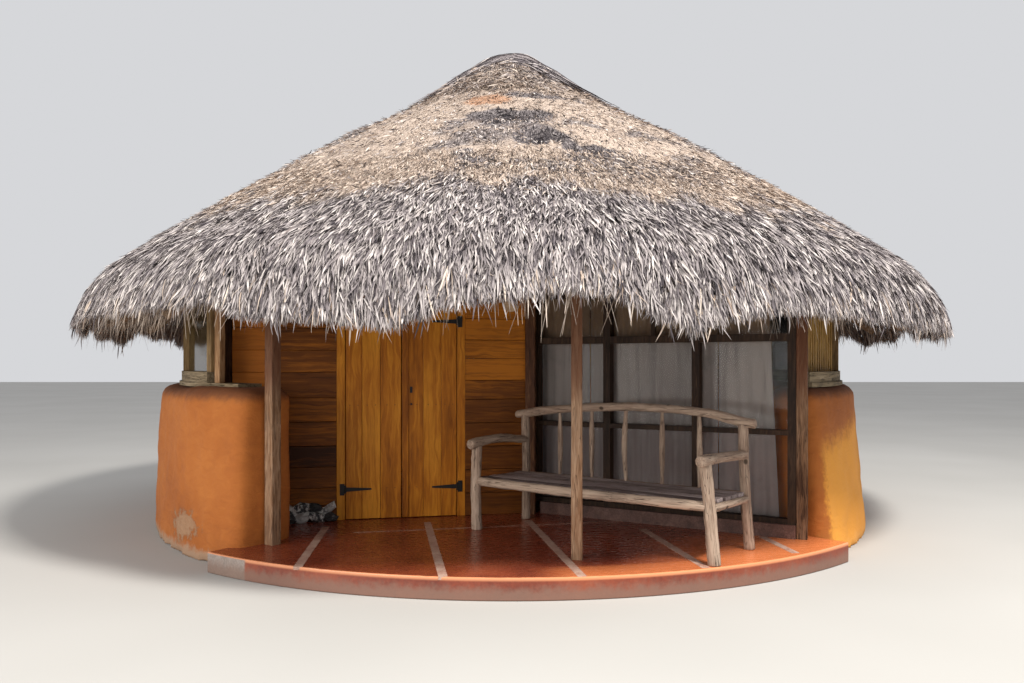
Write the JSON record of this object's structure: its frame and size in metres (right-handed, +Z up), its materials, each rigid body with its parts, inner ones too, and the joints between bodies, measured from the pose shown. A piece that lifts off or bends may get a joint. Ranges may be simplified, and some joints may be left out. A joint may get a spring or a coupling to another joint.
{
  "type": "rondavel hut",
  "caption": "Round thatched hut with an earth ring wall, recessed porch, plank front with a double door, glazed front and a pole bench.",
  "frame": {"origin": "on the ground under the point of the round roof", "axes": "+Z up; the porch faces -Y; +X is to the right seen from the porch side"},
  "size_m": [8.4996, 8.4996, 4.929],
  "materials": {
    "red_cement": "worn red oxide cement, lightly polished",
    "pale_cement": "pale cement joint strips",
    "earth_plaster": "matt orange earth plaster, hand smoothed",
    "grey_timber": "weathered grey sawn timber",
    "brown_timber": "oiled reddish brown timber",
    "weathered_timber": "weathered square posts",
    "slats": "upright palm rib slats",
    "plank_boards": "oiled horizontal boards",
    "rough_stone": "rough black and pale stones",
    "door_timber": "oiled golden brown boards",
    "black_iron": "black painted forged iron",
    "dark_frame": "dark stained window frame",
    "glass": "clear window glass",
    "curtain_cloth": "pale hanging cotton",
    "roof_poles": "round peeled poles",
    "thatch": "weathered palm leaf thatch",
    "driftwood": "silvery weathered poles and boards"
  },
  "bodies": {
    "root": {"floor_slab": "red_cement", "porch_slab": "red_cement", "porch_strips": "pale_cement", "left_pier": "earth_plaster", "ring_wall_left": "earth_plaster", "ring_wall_back_left": "earth_plaster", "ring_wall_back": "earth_plaster", "ring_wall_back_right": "earth_plaster", "ring_wall_right": "earth_plaster", "right_pier": "earth_plaster", "wall_plate": "grey_timber", "sill_beam": "grey_timber", "ring_posts": "brown_timber", "side_glass": "glass", "slat_panels": "slats", "ring_beam": "brown_timber", "porch_posts": "weathered_timber", "door_wall_left": "plank_boards", "door_wall_right": "plank_boards", "door_wall_gable": "plank_boards", "stone_plinth": "rough_stone", "door_frame": "door_timber", "hinge_plates": "black_iron", "corner_post": "brown_timber", "window_kerb": "red_cement", "window_frame": "dark_frame", "window_glass": "glass", "curtains": "curtain_cloth", "window_wall_gable": "plank_boards", "rafters": "roof_poles", "jack_rafters": "roof_poles", "purlins": "roof_poles", "roof_hub": "roof_poles", "thatch_eave_front": "thatch", "thatch_eave_right": "thatch", "thatch_eave_back": "thatch", "thatch_eave_left": "thatch", "thatch_middle": "thatch", "thatch_upper": "thatch", "thatch_cap": "thatch", "bench_legs": "driftwood", "bench_seat": "driftwood", "bench_back": "driftwood", "bench_arms": "driftwood"},
    "left_leaf": {"door_leaf_left": "door_timber", "left_hinges": "black_iron"},
    "right_leaf": {"door_leaf_right": "door_timber", "right_hinges": "black_iron"}
  },
  "joints": [
    {"name": "left_leaf_swing", "type": "hinge", "parent": "root", "child": "left_leaf", "pos_m": [-1.44088, -1.77673, 0.15], "axis": [0, 0, -1], "range_deg": [0, 100]},
    {"name": "right_leaf_swing", "type": "hinge", "parent": "root", "child": "right_leaf", "pos_m": [-0.48229, -1.57297, 0.15], "axis": [0, 0, 1], "range_deg": [0, 100]}
  ]
}
